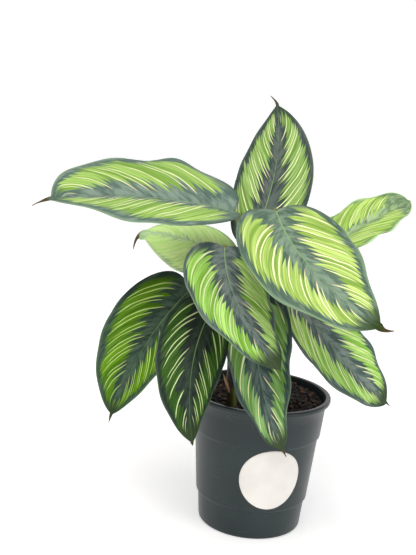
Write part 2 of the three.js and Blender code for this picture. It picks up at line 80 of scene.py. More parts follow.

# Leaf blades. base and tip end the midrib, and face is the way the upper side looks. rise
# arches the midrib and bend bows it sideways. fold, curl and twist are degrees. fullness
# shapes the outline, skew widens one half, and lobe rounds the foot. tail, drip and hook are
# the drip tip's length, half width and curl. wave, waves and phase are the height, number and
# start of the slow waves along the edges, and ruffle is the height of one more on one side.
# bands is how many bands of side veins run along the blade, and middle and margin are where
# the lime starts and stops between midrib and edge. lime and green are the two greens, set
# leaf by leaf with painted light in them: darker on the low leaves as painted shade, paler on
# left_back as painted light through the blade, and the green greyer as painted sheen. cream
# is how clear the stripes are, and stripe scales their colour where it isn't plain cream.
# olive is how far the point turns brown. contrast is how far light and dark streaks part,
# edge how bright the dark green is along the rim, partly as painted sheen, and end where the
# stripes stop short of the point. seed sets the random draws.
LEAVES = {
    "left": dict(
        shoot="left", base=(-33, -12, 265), tip=(-182, -75, 267), face=(0.19, -0.42, 0.88),
        width=91, rise=3.6, bend=9.2, fold=29, curl=-47, twist=5, fullness=0.6,
        lobe=7.2, skew=0.04, tail=15, drip=1.3, hook=(0, -4), wave=1.7, waves=1.9, phase=0.75,
        ruffle=11, bands=10, middle=0.20, margin=0.70,
        lime=0x9abe5e, green=0x708577, cream=0.68, olive=0.2, seed=1,
        contrast=0.9, edge=1.55, end=0.81,
    ),
    "top": dict(
        shoot="right", base=(-18, 5, 238), tip=(-9, 63, 359), face=(-0.28, -0.86, 0.43),
        width=68, rise=6, bend=12, fold=4, curl=-21, twist=4, fullness=0.94,
        lobe=7.4, skew=-0.02, tail=9, drip=1.3, hook=(-4, 4), wave=0.6, waves=3, phase=0.21,
        bands=10, middle=0.20, margin=0.72,
        lime=0x91b460, green=0x4a5750, cream=0.78, olive=0.4, seed=2,
        contrast=1.1, edge=1.3, end=0.81,
    ),
    "right_back": dict(
        shoot="right", base=(28, 8, 220), tip=(118, 75, 279), face=(-0.33, -0.34, 0.88),
        width=61, rise=1.6, bend=-4.9, fold=24, curl=-31, twist=-35, fullness=0.5,
        lobe=6, skew=-0.01, tail=3, drip=1.3, hook=(0, -2), wave=2.1, waves=2.5, phase=0.72,
        bands=8, middle=0.08, margin=0.80,
        lime=0xb5d76d, green=0x90ab7e, cream=0.75, olive=0.1, seed=3,
        contrast=1.1, edge=2.3, end=0.8,
    ),
    "front_right": dict(
        shoot="right", base=(0, -50, 273), tip=(85, -133, 204), face=(-0.04, -0.66, 0.75),
        width=80, rise=9.3, bend=15.4, fold=9, curl=4, twist=-1, fullness=0.85,
        lobe=6.7, skew=0.07, tail=9, drip=3, hook=(-5, 0), wave=2.7, waves=2.1, phase=0.22,
        bands=9, middle=0.17, margin=0.70,
        lime=0xb4d16c, green=0x6c836f, cream=0.95, olive=1.0, seed=4,
        contrast=1, edge=1.7, end=0.8,
    ),
    "front": dict(
        shoot="left", base=(-37, -46, 241), tip=(14, -121, 168), face=(0.31, -0.55, 0.78),
        width=66, rise=6.4, bend=15, fold=3, curl=-11, twist=26, fullness=0.63,
        lobe=7.1, skew=0.06, tail=2, drip=1.3, hook=(0, 0), wave=1.4, waves=2.3, phase=0.02,
        bands=9, middle=0.20, margin=0.74,
        lime=0xa9d96b, green=0x5f6f69, cream=0.65, olive=0.9, seed=5,
        contrast=1.2, edge=1.5, end=0.84,
    ),
    # Its lime and green are darker as painted shade from the leaves above it.
    "low_left": dict(
        shoot="left", base=(-65, -8, 197), tip=(-115, -72, 99), face=(-0.11, -0.8, 0.58),
        width=75, rise=10.8, bend=3.8, fold=32, curl=-4, twist=-6, fullness=0.77,
        lobe=7.1, skew=0, tail=7, drip=1.3, hook=(0, 0), wave=0.8, waves=3.1, phase=0.5,
        bands=11, middle=0.22, margin=0.72,
        lime=0x5b890c, green=0x415747, cream=0.66, olive=0.6, seed=6,
        contrast=1, edge=1.75, end=0.85, stripe=(0.78, 1, 0.54),
    ),
    # Its lime and green are the darkest of all, painted shade from the leaves above it.
    "low_front_left": dict(
        shoot="left", base=(-40, -49, 198), tip=(-45, -112, 103), face=(0.41, -0.77, 0.48),
        width=58, rise=8.6, bend=13.5, fold=-15, curl=-3, twist=17, fullness=0.85,
        lobe=6, skew=0, tail=2, drip=1.3, hook=(0, 0), wave=0.9, waves=3.1, phase=0.1,
        bands=8, middle=0.25, margin=0.72,
        lime=0x355c15, green=0x28372c, cream=0.68, olive=0.6, seed=7,
        contrast=1, edge=2.9, end=0.86, stripe=(0.86, 1, 0.82),
    ),
    "low_front": dict(
        shoot="right", base=(-8, -43, 209), tip=(24, -95, 95), face=(-0.65, -0.75, 0.16),
        width=67, rise=6.7, bend=7.3, fold=4, curl=-15, twist=-39, fullness=0.54,
        lobe=5.9, skew=0, tail=7, drip=3, hook=(0, 0), wave=1.6, waves=2.2, phase=0.52,
        bands=6, middle=0.24, margin=0.70,
        lime=0x84b362, green=0x4e635b, cream=0.85, olive=0.9, seed=8,
        contrast=1.15, edge=1.3, end=0.87,
    ),
    "low_right": dict(
        shoot="right", base=(20, -29, 204), tip=(103, -43, 126), face=(0.45, -0.66, 0.6),
        width=61, rise=11.1, bend=13.5, fold=14, curl=-15, twist=-8, fullness=0.72,
        lobe=6.1, skew=0, tail=5, drip=1.3, hook=(0, 0), wave=1.5, waves=2.4, phase=0,
        bands=8, middle=0.22, margin=0.72,
        lime=0xb8f079, green=0x6b7c74, cream=0.9, olive=0.8, seed=9,
        contrast=1.15, edge=0.7, end=0.84,
    ),
    # Its pale lime and green are painted light coming through the blade from behind; its low
    # contrast keeps them from clipping.
    "left_back": dict(
        shoot="left", base=(-39, 12, 220), tip=(-131, 84, 224), face=(-0.41, -0.55, 0.72),
        width=57, rise=5.6, bend=8.5, fold=-7, curl=-31, twist=16, fullness=1.01,
        lobe=6, skew=-0.01, tail=12, drip=5.5, hook=(-11, -7), wave=0.9, waves=2.9, phase=0.29,
        bands=8, middle=0.06, margin=0.78,
        lime=0xd4ff9a, green=0xb8d9a1, cream=0.36, olive=0.1, seed=10,
        contrast=0.4, edge=1.7, end=0.8,
    ),
}

# What all blades share. OUTLINE and RUFFLE hold shares of the midrib's length, and GRID also
# says how closely rows crowd towards the point and columns towards the midrib.
BLADE = dict(thickness=0.5, rib=0.9, rib_width=1.0, groove=0.45, groove_width=1.1, pleat=0.32)
OUTLINE = dict(widest=0.38, sweep=0.55, sweep_over=0.12, lobe=1.3, lobe_over=0.1)
RUFFLE = dict(share=0.272, spread=0.09)
GRID = dict(rows=110, columns=80, crowd_rows=1.15, crowd_columns=1.25, last=0.9975)
LAYOUT = dict(edge=0.01, long=0.98, wide=0.47, lower=0.5, rim=(0.490, 0.498), rim_fill=0.9)

# ---- Camera, where the photograph was taken from

CAMERA_AT = (0.0, -0.7337, 0.3475)
CAMERA_RIGHT = Vector((0.99351, 0.08411, 0.07656))
CAMERA_UP = Vector((-0.09078, 0.18092, 0.97930))
CAMERA_LENS = 58.4
CAMERA_SENSOR = 36


# ---- Material graphs

class Value:
    """A number or vector in a node tree, with arithmetic that adds the nodes."""

    def __init__(self, graph, socket):
        self.graph = graph
        self.socket = socket

    def __add__(self, other):
        return self.graph.math("ADD", self, other)

    def __sub__(self, other):
        return self.graph.math("SUBTRACT", self, other)

    def __rsub__(self, other):
        return self.graph.math("SUBTRACT", other, self)

    def __mul__(self, other):
        return self.graph.math("MULTIPLY", self, other)

    __radd__ = __add__
    __rmul__ = __mul__


class Graph:
    """A material with one Principled shader and short calls for the nodes that feed it."""

    def __init__(self, name, **constants):
        self.material = bpy.data.materials.new(name)
        self.material.use_nodes = True
        self.tree = self.material.node_tree
        self.tree.nodes.clear()
        self.shader = self.tree.nodes.new("ShaderNodeBsdfPrincipled")
        output = self.tree.nodes.new("ShaderNodeOutputMaterial")
        self.tree.links.new(self.shader.outputs["BSDF"], output.inputs["Surface"])
        for socket, value in constants.items():
            self.shader.inputs[socket.replace("_", " ")].default_value = value

    def put(self, socket, value):
        """Links a value to a socket, or sets the socket's own number."""
        if isinstance(value, Value):
            self.tree.links.new(value.socket, socket)
        elif isinstance(value, tuple) and len(value) == 3 and socket.type == "RGBA":
            socket.default_value = (*value, 1.0)
        else:
            socket.default_value = value

    def node(self, kind, inputs, output=0, **settings):
        """One output of a new node. inputs goes by the names or numbers of its sockets."""
        made = self.tree.nodes.new(kind)
        for key, value in settings.items():
            setattr(made, key, value)
        for key, value in inputs.items():
            self.put(made.inputs[key], value)
        return Value(self, made.outputs[output])

    def math(self, operation, *values):
        return self.node("ShaderNodeMath", dict(enumerate(values)), operation=operation)

    def step(self, low, high, value):
        """0 below low and 1 above high, smooth between."""
        inputs = dict(enumerate((value, low, high, 0.0, 1.0)))
        return self.node("ShaderNodeMapRange", inputs, interpolation_type="SMOOTHSTEP")

    def mix(self, factor, first, second):
        """A colour between first and second."""
        inputs = {0: factor, 6: first, 7: second}
        return self.node("ShaderNodeMix", inputs, 2, data_type="RGBA")

    def join(self, x, y, z=0.0):
        return self.node("ShaderNodeCombineXYZ", {"X": x, "Y": y, "Z": z})

    def split(self, vector):
        """The three parts of a vector."""
        parts = self.node("ShaderNodeSeparateXYZ", {"Vector": vector}).socket.node.outputs
        return [Value(self, part) for part in parts]

    def uv(self, name):
        """The two coordinates of a UV map."""
        return self.split(self.node("ShaderNodeUVMap", {}, uv_map=name))[:2]

    def place(self):
        """Object coordinates, in metres."""
        return self.node("ShaderNodeTexCoord", {}, 3)

    def noise(self, vector, scale, detail=2.0, roughness=0.5):
        inputs = {"Vector": vector, "Scale": scale, "Detail": detail, "Roughness": roughness}
        return self.node("ShaderNodeTexNoise", inputs)

    def stretched(self, vector, scale, detail):
        """Noise with a scale of its own along each axis."""
        mapped = self.node("ShaderNodeMapping", {"Vector": vector, "Scale": scale})
        return self.noise(mapped, 1.0, detail)

    def random(self, x, y, z):
        """Three random numbers for whole-number coordinates."""
        vector = self.join(x, y, z)
        return self.split(self.node("ShaderNodeTexWhiteNoise", {"Vector": vector}, 1))

    def colour(self, value):
        self.put(self.shader.inputs["Base Color"], value)

    def roughness(self, value):
        self.put(self.shader.inputs["Roughness"], value)

    def bump(self, height, distance):
        """Relief that is distance millimetres high where height is 1."""
        inputs = {"Height": height, "Distance": distance * MM, "Strength": 1.0}
        self.put(self.shader.inputs["Normal"], self.node("ShaderNodeBump", inputs))


# ---- Leaf materials

# Screen colours.
CREAM = 0xf9ffc6
CREAM_FOOT = 0xfad1a6
TIP_OLIVE = 0x31451a
TAIL_BROWN = 0x4a3c1e
RIB_GREEN = 0x9ec376
UNDER_DARK = 0x452934
UNDER_LIGHT = 0x735950
UNDER_STRIPE = 0x9a8270
UNDER_RIB = 0x8c8850

# How the tones of a blade depart from its own lime and green: red, green and blue gains.
LIME_DEEP = (0.55, 0.66, 0.36)
LIME_LIGHT = (1.46, 1.34, 1.60)
LIME_HAIR = (0.42, 0.52, 0.30)
# The groove tone below is painted shadow beside the stripes.
LIME_GROOVE_SHADOW = (0.45, 0.58, 0.35)
GREEN_LINE = (1.2, 1.5, 0.6)
GREEN_COOL = (0.50, 0.58, 0.60)
# The pale tone below stands partly for painted sheen on the dark green.
GREEN_PALE_SHEEN = (1.50, 1.40, 1.42)
# The rim tone below is partly the margin's own lighter green and partly painted sheen.
GREEN_RIM_SHEEN = (1.06, 1.05, 0.90)
GREEN_HAIR = (1.9, 1.8, 1.75)

# How far a side vein sweeps forward on its way to the edge, and how many cells of each kind
# there are to a band of veins.
SWEEP = 0.22
SWEEP_FOOT = 0.12
CELLS = dict(fine=2.7, ragged=8.0, streak=4.6, hair=21.0, mottle=2.4)


def shade(code, gain=(1, 1, 1)):
    """A hexadecimal screen colour as linear light, with each part scaled."""
    parts = [(code >> shift & 255) / 255 for shift in (16, 8, 0)]
    linear = [p / 12.92 if p < 0.04045 else ((p + 0.055) / 1.055) ** 2.4 for p in parts]
    return tuple(min(1.0, p * g) for p, g in zip(linear, gain))


class LeafPattern:
    """Where one blade is dark, striped, streaked, mottled or ribbed, each from 0 to 1."""

    def __init__(self, g, leaf):
        seed = float(leaf["seed"])
        bands = float(leaf["bands"])

        # Along the midrib, out from it, and along the side vein that passes the spot.
        along, across = g.uv("vein")
        signed = across * 2.0 - 1.0
        self.reach = reach = g.math("ABSOLUTE", signed)
        side = g.math("GREATER_THAN", signed, 0.0)
        own = side * 7.0 + seed * 3.1
        wander = g.noise(g.join(along * 6.0, reach * 1.6, own), 1.0) - 0.5
        sweep = SWEEP_FOOT + (SWEEP - SWEEP_FOOT) * g.step(0.05, 0.50, along)
        vein = along - reach * sweep + wander * 0.045

        # Fine cells between the veins, each with its own random ends.
        fine_row = vein * (bands * CELLS["fine"]) + side * 0.7 + seed
        fine_cell = g.math("FLOOR", fine_row)
        fine = fine_row - fine_cell
        inner, outer, tint = g.random(fine_cell, side + 3.0, seed)
        spike = 1.0 - g.math("ABSOLUTE", fine * 2.0 - 1.0)
        ragged = g.noise(g.join(vein * (bands * CELLS["ragged"]), reach * 3.0, own), 1.0) - 0.5

        # The dark middle, margin, point and foot.
        near_base = 1.0 - g.step(0.0, 0.12, along)
        late = g.step(0.35, 0.85, along)
        middle = leaf["middle"] + inner * 0.17 - spike * 0.12 + late * 0.07 + near_base * 0.10
        in_middle = 1.0 - g.step(middle - 0.02, middle + 0.025, reach + ragged * 0.07)
        margin = leaf["margin"] - outer * 0.13 + spike * 0.12 - near_base * 0.10
        in_margin = g.step(margin - 0.030, margin + 0.030, reach + ragged * 0.08)
        ending = along + (inner - 0.5) * 0.07 + reach * 0.03
        end = leaf["end"]
        point = g.step(end - 0.02, end + 0.04, ending)
        foot = 1.0 - g.step(0.015, 0.055, along + (outer - 0.5) * 0.03)
        around = g.math("MAXIMUM", in_margin, g.math("MAXIMUM", foot, point))
        self.dark = g.math("MAXIMUM", in_middle, around)

        # Cream stripes: one in each band, and a thinner one beside about half of them.
        row = vein * bands + side * 0.43 + seed * 0.31
        cell = g.math("FLOOR", row)
        within = row - cell
        first = g.random(cell, side, seed)
        second = g.random(cell, side + 11.0, seed + 5.0)
        main = self.stripe(g, within, 0.24 + first[0] * 0.28, first[1], first[2], 1.0)
        paired = g.math("GREATER_THAN", second[0], 0.45)
        beside = 0.50 + first[0] * 0.28 + second[1] * 0.10
        other = self.stripe(g, within, beside, second[2], second[1], 0.75)
        grown = g.step(0.03, 0.07, along) * (1.0 - g.step(end + 0.01, end + 0.06, ending))
        self.cream = g.math("MAXIMUM", main[0], other[0] * paired) * grown
        # groove is the darker line beside each stripe, painted shadow along it.
        self.groove = g.math("MAXIMUM", main[1], other[1] * paired) * grown

        # Light and dark streaks, hairlines, and lines between some of the fine cells.
        streak = g.noise(
            g.join(vein * (bands * CELLS["streak"]), reach * 1.3, own), 1.0, 3.0, 0.6
        )
        self.hair = g.noise(g.join(vein * (bands * CELLS["hair"]), reach * 2.2, own), 1.0)
        self.tint = g.step(0.33, 0.67, streak * 0.8 + tint * 0.2)
        lines = g.math("MINIMUM", fine, 1.0 - fine)
        self.line = (1.0 - g.step(0.02, 0.11, lines)) * g.step(0.25, 0.75, outer)

        # The midrib, slimmer and fainter towards the point, and the mottling of the dark green.
        self.share, over = g.uv("place")
        self.over = g.math("ABSOLUTE", over * 2.0 - 1.0)
        slim = 1.0 - self.share * 0.6
        self.rib = 1.0 - g.step(slim * 0.009, slim * 0.024, self.over)
        self.rib = self.rib * (1.0 - g.step(0.20, 0.75, self.share) * 0.8)
        self.mottle = g.noise(
            g.join(vein * (bands * CELLS["mottle"]), reach * 5.0, own + 4.0), 1.0, 5.0, 0.65
        )

    def stripe(self, g, within, centre, begin, end, size):
        """A pale streak along a vein, from inside the dark middle to most of the way out, and
        the darker line on each side of it, painted shadow along the stripe."""
        start = 0.05 + begin * 0.13
        stop = 0.60 + end * 0.20
        swell = g.step(start, start + 0.12, self.reach)
        taper = swell * (1.0 - g.step(stop - 0.20, stop, self.reach))
        half = taper * (0.042 + 0.026 * end) * size
        apart = g.math("ABSOLUTE", within - centre)
        inside = 1.0 - g.step(half * 0.7, half + 0.014, apart)
        shown = g.step(0.03, 0.30, taper)
        return inside * shown, (1.0 - g.step(half + 0.02, half + 0.09, apart)) * shown


def leaf_top(name, leaf):
    g = Graph(
        f"leaf_{name}_top", Specular_IOR_Level=0.18, Subsurface_Weight=0.06,
        Subsurface_Scale=0.0012, Subsurface_Radius=(0.35, 1.0, 0.15),
    )
    p = LeafPattern(g, leaf)

    # Each blade's lime and green hold the painted shade and light of that leaf.
    def tone(key, gain):
        return shade(leaf[key], [1 + (v - 1) * leaf["contrast"] for v in gain])

    colour = g.mix(p.tint, tone("lime", LIME_DEEP), tone("lime", LIME_LIGHT))
    colour = g.mix(g.step(0.46, 0.64, p.hair) * 0.55, colour, tone("lime", LIME_HAIR))
    colour = g.mix(p.line * 0.70, colour, tone("green", GREEN_LINE))
    # Painted shadow: the lime darkens in a line along each side of a stripe.
    colour = g.mix(p.groove * 0.40, colour, tone("lime", LIME_GROOVE_SHADOW))

    # The dark green mottles between a cool dark tone and a pale grey one that is partly painted
    # sheen; it is paler near the midrib and darker further out.
    pale = tone("green", GREEN_PALE_SHEEN)
    lit = p.mottle + 0.06 - g.step(0.05, 0.25, p.reach) * 0.12
    dark = g.mix(g.step(0.40, 0.64, lit), tone("green", GREEN_COOL), pale)
    dark = g.mix(p.line * 0.30, dark, pale)
    # Lighter dark green along the margin, set leaf by leaf by edge: partly the blade's own
    # lighter margin, partly painted sheen.
    rim = shade(leaf["green"], [v * leaf["edge"] for v in GREEN_RIM_SHEEN])
    dark = g.mix(g.step(0.82, 0.94, p.reach) * 0.6, dark, rim)
    dark = g.mix(g.step(0.50, 0.75, p.hair) * 0.28, dark, tone("green", GREEN_HAIR))
    colour = g.mix(p.dark, colour, dark)

    stripe = leaf.get("stripe", (1, 1, 1))
    cream = g.mix(g.step(0.06, 0.24, p.reach), shade(CREAM_FOOT, stripe), shade(CREAM, stripe))
    colour = g.mix(p.cream * leaf["cream"], colour, cream)
    colour = g.mix(p.rib * 0.6, colour, shade(RIB_GREEN))
    edge = g.step(0.965, 0.99, p.reach) * (1.0 - g.step(0.75, 0.90, p.share))
    colour = g.mix(edge * 0.35, colour, shade(RIB_GREEN))

    olive = g.step(0.80, 0.93, p.share) * leaf["olive"]
    colour = g.mix(olive, colour, shade(TIP_OLIVE))
    body_end = 1.0 - leaf["tail"] / float(Midrib(leaf).length)
    browned = g.step(body_end - 0.005, body_end + 0.03, p.share)
    g.colour(g.mix(browned, colour, shade(TAIL_BROWN)))

    g.roughness(0.46 + p.hair * 0.12 + p.cream * 0.10)
    relief = p.hair * 0.35 + p.cream * 0.25 - p.rib * 0.5
    g.bump(relief + g.noise(g.place(), 900.0) * 0.25, 0.28)
    return g.material


def leaf_under(name, leaf):
    g = Graph(
        f"leaf_{name}_under", Specular_IOR_Level=0.35, Subsurface_Weight=0.05,
        Subsurface_Scale=0.001,
    )
    p = LeafPattern(g, leaf)
    light = (1.0 - p.dark) * 0.55 + p.hair * 0.25
    colour = g.mix(light, shade(UNDER_DARK), shade(UNDER_LIGHT))
    colour = g.mix(p.cream * 0.4, colour, shade(UNDER_STRIPE))
    rib = 1.0 - g.step(0.03, 0.06, p.over)
    colour = g.mix(rib * 0.8, colour, shade(UNDER_RIB))
    g.colour(g.mix(g.step(0.93, 0.99, p.share) * 0.8, colour, shade(TAIL_BROWN)))
    g.roughness(0.50 + p.hair * 0.15)
    g.bump(p.hair * 0.5 + g.noise(g.place(), 700.0) * 0.3, 0.3)
    return g.material


# ---- Meshes

def unit(v):
    return v / np.linalg.norm(v, axis=-1, keepdims=True)


def smooth(low, high, x):
    t = np.clip((x - low) / (high - low), 0, 1)
    return t * t * (3 - 2 * t)


def travelled(points):
    """How far along a line each of its points lies."""
    spans = np.linalg.norm(np.diff(points, axis=0), axis=1)
    return np.concatenate([[0], np.cumsum(spans)])


def add_object(name, data):
    thing = bpy.data.objects.new(name, data)
    bpy.context.scene.collection.objects.link(thing)
    return thing


def mesh_object(name, points, faces, materials, slots=None):
    """A smooth-shaded mesh. slots gives the material of each face where there are several."""
    mesh = bpy.data.meshes.new(name)
    mesh.from_pydata([tuple(p) for p in points], [], faces)
    for material in materials:
        mesh.materials.append(material)
    if slots is not None:
        mesh.polygons.foreach_set("material_index", slots)
    mesh.polygons.foreach_set("use_smooth", [True] * len(mesh.polygons))
    mesh.update()
    return add_object(name, mesh)


def corner_points(mesh):
    """The point at each corner of each face."""
    points = np.empty(len(mesh.loops), dtype=np.int32)
    mesh.loops.foreach_get("vertex_index", points)
    return points


def add_map(mesh, name, values):
    """A UV map, from two coordinates for each point."""
    placed = np.asarray(values)[corner_points(mesh)]
    mesh.uv_layers.new(name=name).data.foreach_set("uv", placed.ravel())


def sheet_faces(rows, columns):
    """Faces of a thin sheet, from the points of its upper skin and then its lower one: the two
    skins' faces in turn, and then the rim's."""
    def at(i, j):
        return i * (columns + 1) + j

    count = at(rows + 1, 0)
    faces = []
    for i in range(rows):
        for j in range(columns):
            a, b, c, d = at(i, j), at(i + 1, j), at(i + 1, j + 1), at(i, j + 1)
            faces += [(a, d, c, b), (a + count, b + count, c + count, d + count)]
    rim = [(at(i, 0), at(i + 1, 0)) for i in range(rows)]
    rim += [(at(i + 1, columns), at(i, columns)) for i in range(rows)]
    rim += [(at(0, j + 1), at(0, j)) for j in range(columns)]
    rim += [(at(rows, j), at(rows, j + 1)) for j in range(columns)]
    return faces + [(a, b, b + count, a + count) for a, b in rim]


def turned_faces(rings, sides):
    """Faces over rings of points, with one point before the first ring and one after the
    last."""
    faces = []
    for k in range(sides):
        after = (k + 1) % sides
        faces.append((0, 1 + after, 1 + k))
        for i in range(rings - 1):
            a, b = 1 + i * sides + k, 1 + i * sides + after
            faces.append((a, b, b + sides, a + sides))
        end = 1 + (rings - 1) * sides
        faces.append((end + k, end + after, end + sides))
    return faces


# ---- Leaf blades

class Midrib:
    """A leaf's midrib in millimetres, and the directions across and out of the blade."""

    def __init__(self, leaf):
        self.base = np.array(leaf["base"], float)
        self.tip = np.array(leaf["tip"], float)
        chord = self.tip - self.base
        along = unit(chord)
        face = np.array(leaf["face"], float)
        self.face = unit(face - (face @ along) * along)
        self.control = self.base + chord / 2 + self.face * 2 * leaf["rise"]
        self.control = self.control + np.cross(along, self.face) * 2 * leaf["bend"]
        self.twist = math.radians(leaf["twist"])
        self.steps = np.linspace(0, 1, 401)
        self.lengths = travelled(self.at(self.steps))
        self.length = self.lengths[-1]

    def at(self, t):
        t = np.asarray(t)[..., None]
        return (1 - t) ** 2 * self.base + 2 * t * (1 - t) * self.control + t * t * self.tip

    def frame(self, share):
        """Point, tangent, normal and side at shares of the length, also past its ends."""
        inside = np.clip(share, 0, 1)
        t = np.interp(inside * self.length, self.lengths, self.steps)
        column = t[..., None]
        tangent = unit(
            2 * (1 - column) * (self.control - self.base) + 2 * column * (self.tip - self.control)
        )
        point = self.at(t) + ((share - inside) * self.length)[..., None] * tangent
        normal = unit(self.face - (tangent @ self.face)[..., None] * tangent)
        side = np.cross(tangent, normal)
        turn = (self.twist * (inside - 0.35))[..., None]
        turned = np.cos(turn) * normal - np.sin(turn) * side
        return point, tangent, turned, np.cross(tangent, turned)


def blade_grid(leaf, rib):
    """Places of the blade's middle surface in millimetres, row by row from foot to point.

    Also gives m, where a row's side vein leaves the midrib, q, how far out on it a place lies,
    and flat, the place as shares of the length and the width."""
    rank = np.arange(GRID["rows"] + 1) / GRID["rows"]
    m = np.minimum(1 - (1 - rank) ** GRID["crowd_rows"], GRID["last"])
    s = np.linspace(-1, 1, GRID["columns"] + 1)
    q = np.sign(s) * np.abs(s) ** GRID["crowd_columns"]
    m, q = np.meshgrid(m, q, indexing="ij")
    reach = np.abs(q)

    # The outline's half width where each vein meets it.
    widest = OUTLINE["widest"]
    body = 1 - leaf["tail"] / rib.length
    edge = m + widest * (1 - m) ** 0.9
    beyond = np.clip((edge - widest) / (body - widest), 0, 1)
    outline = leaf["width"] / 2 * (1 - beyond**2) ** leaf["fullness"]
    tail = leaf["drip"] * np.clip((1 - edge) / (1 - body), 0, 1)
    half = np.maximum(outline, tail) * (1 + leaf["skew"] * np.sign(q))

    # The way along a vein: how far forward and how far out.
    sweep = OUTLINE["sweep"] * (1 - np.exp(-m / OUTLINE["sweep_over"]))
    turn = reach * math.pi / 2
    forward = (1 - sweep) * (1 - np.cos(turn)) + sweep * np.sin(turn)
    lobe = leaf["lobe"] * np.exp(-m / OUTLINE["lobe_over"]) * np.sin(2 * turn) * np.cos(turn)
    share = m + (edge - m) * forward - lobe * OUTLINE["lobe"] / rib.length
    out = half * np.sin(turn)

    # The blade's fold and curl, the drip tip's hook, and the waves of the edge.
    tilt = math.radians(leaf["fold"]) + math.radians(leaf["curl"]) * out / leaf["width"]
    drawn = np.clip((share - body) / (1 - body), 0, 1)
    veer = np.arctan2(2 * leaf["hook"][0] * drawn, leaf["tail"])
    ripple = leaf["wave"] * q * q * np.sqrt(np.maximum(0, np.sin(math.pi * (0.92 * m + 0.08))))
    swing = np.sin(2 * math.pi * (leaf["waves"] * m + leaf["phase"]) + np.where(q > 0, 0, 2.1))
    apart = (share - RUFFLE["share"]) / RUFFLE["spread"]
    ruffle = np.where(q > 0, leaf.get("ruffle", 0) * q * q * np.exp(-apart * apart), 0)
    level = np.sign(q) * out * np.cos(tilt)
    across = level * np.cos(veer) + leaf["hook"][0] * drawn**2
    lift = out * np.sin(tilt) + ripple * swing + ruffle + leaf["hook"][1] * drawn**2

    # Pleats between the side veins, and the groove over the midrib.
    pleats = np.sin(2 * math.pi * (leaf["bands"] * 2 * m + 0.2 * leaf["seed"]))
    fade = smooth(0.02, 0.2, reach) * (1 - smooth(0.75, 1.0, reach)) * (1 - m)
    lift = lift + BLADE["pleat"] * pleats * fade
    groove = BLADE["groove"] * np.exp(-((out / BLADE["groove_width"]) ** 2))
    lift = lift - groove * (1 - smooth(0.5, 0.9, share))

    point, tangent, normal, side = rib.frame(share.ravel())
    point = point - (level * np.sin(veer)).ravel()[:, None] * tangent
    place = point + across.ravel()[:, None] * side + lift.ravel()[:, None] * normal
    flat = np.stack([share, np.sign(q) * out / leaf["width"]], -1)
    return place.reshape(share.shape + (3,)), m, q, flat


def grid_normals(grid):
    down = np.gradient(grid, axis=0)
    over = np.gradient(grid, axis=1)
    normal = np.cross(over, down)
    return normal / np.maximum(np.linalg.norm(normal, axis=-1, keepdims=True), 1e-9)


def make_blade(name, leaf):
    grid, m, q, flat = blade_grid(leaf, Midrib(leaf))
    normal = grid_normals(grid)
    out = np.abs(flat[..., 1]) * leaf["width"]
    share = np.clip(flat[..., 0], 0, 1)
    ridge = BLADE["rib"] * np.exp(-((out / BLADE["rib_width"]) ** 2)) * (1 - 0.85 * share)
    thin = BLADE["thickness"] / 2
    upper = grid + normal * thin
    lower = grid - normal * (thin + ridge)[..., None]
    points = np.concatenate([upper.reshape(-1, 3), lower.reshape(-1, 3)]) * MM
    rows, columns = GRID["rows"], GRID["columns"]
    slots = [0, 1] * (rows * columns) + [0] * (2 * (rows + columns))
    blade = mesh_object(
        f"leaf_{name}_blade", points, sheet_faces(rows, columns),
        [leaf_top(name, leaf), leaf_under(name, leaf)], slots,
    )
    add_leaf_maps(blade.data, m, q, flat)
    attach(blade, BODY)
    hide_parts(f"leaf_{name}")


def add_leaf_maps(mesh, m, q, flat):
    """The vein and place coordinates, and a layout in which no two faces share a spot."""
    vein = np.stack([m.ravel(), q.ravel() / 2 + 0.5], -1)
    place = flat.reshape(-1, 2)
    add_map(mesh, "vein", np.tile(vein, (2, 1)))
    add_map(mesh, "place", np.tile(place + (0, 0.5), (2, 1)))
    low, high = place.min(axis=0), place.max(axis=0)
    upper = (place - low) / (high - low) * (LAYOUT["long"], LAYOUT["wide"]) + LAYOUT["edge"]
    layout = np.concatenate([upper, upper + (0, LAYOUT["lower"])])[corner_points(mesh)]
    starts = np.empty(len(mesh.polygons), dtype=np.int32)
    mesh.polygons.foreach_get("loop_start", starts)
    rim_faces = starts[2 * GRID["rows"] * GRID["columns"]:]
    bottom, top = LAYOUT["rim"]
    for k, start in enumerate(rim_faces):
        left = LAYOUT["edge"] + LAYOUT["long"] * k / len(rim_faces)
        right = left + LAYOUT["rim_fill"] / len(rim_faces)
        layout[start:start + 4] = [(left, bottom), (right, bottom), (right, top), (left, top)]
    mesh.uv_layers.new(name="OFBake").data.foreach_set("uv", layout.ravel())


# ---- Shoots

# Darker and lighter tones, in linear light.
OLIVE = ((0.050, 0.052, 0.016), (0.095, 0.105, 0.028))
OLIVE_EDGE = (0.24, 0.26, 0.060)
# The near-black pair below is the sheath's dark brown deepened by painted shade.
BROWN_AND_SHADE = ((0.010, 0.009, 0.006), (0.040, 0.028, 0.014))
STALK_GREEN = ((0.085, 0.105, 0.030), (0.20, 0.22, 0.060))
KNEE_GREEN = (0.19, 0.19, 0.035)
BRACT_BROWN = ((0.26, 0.12, 0.045), (0.60, 0.38, 0.20))
BRACT_TIP = (0.09, 0.04, 0.02)


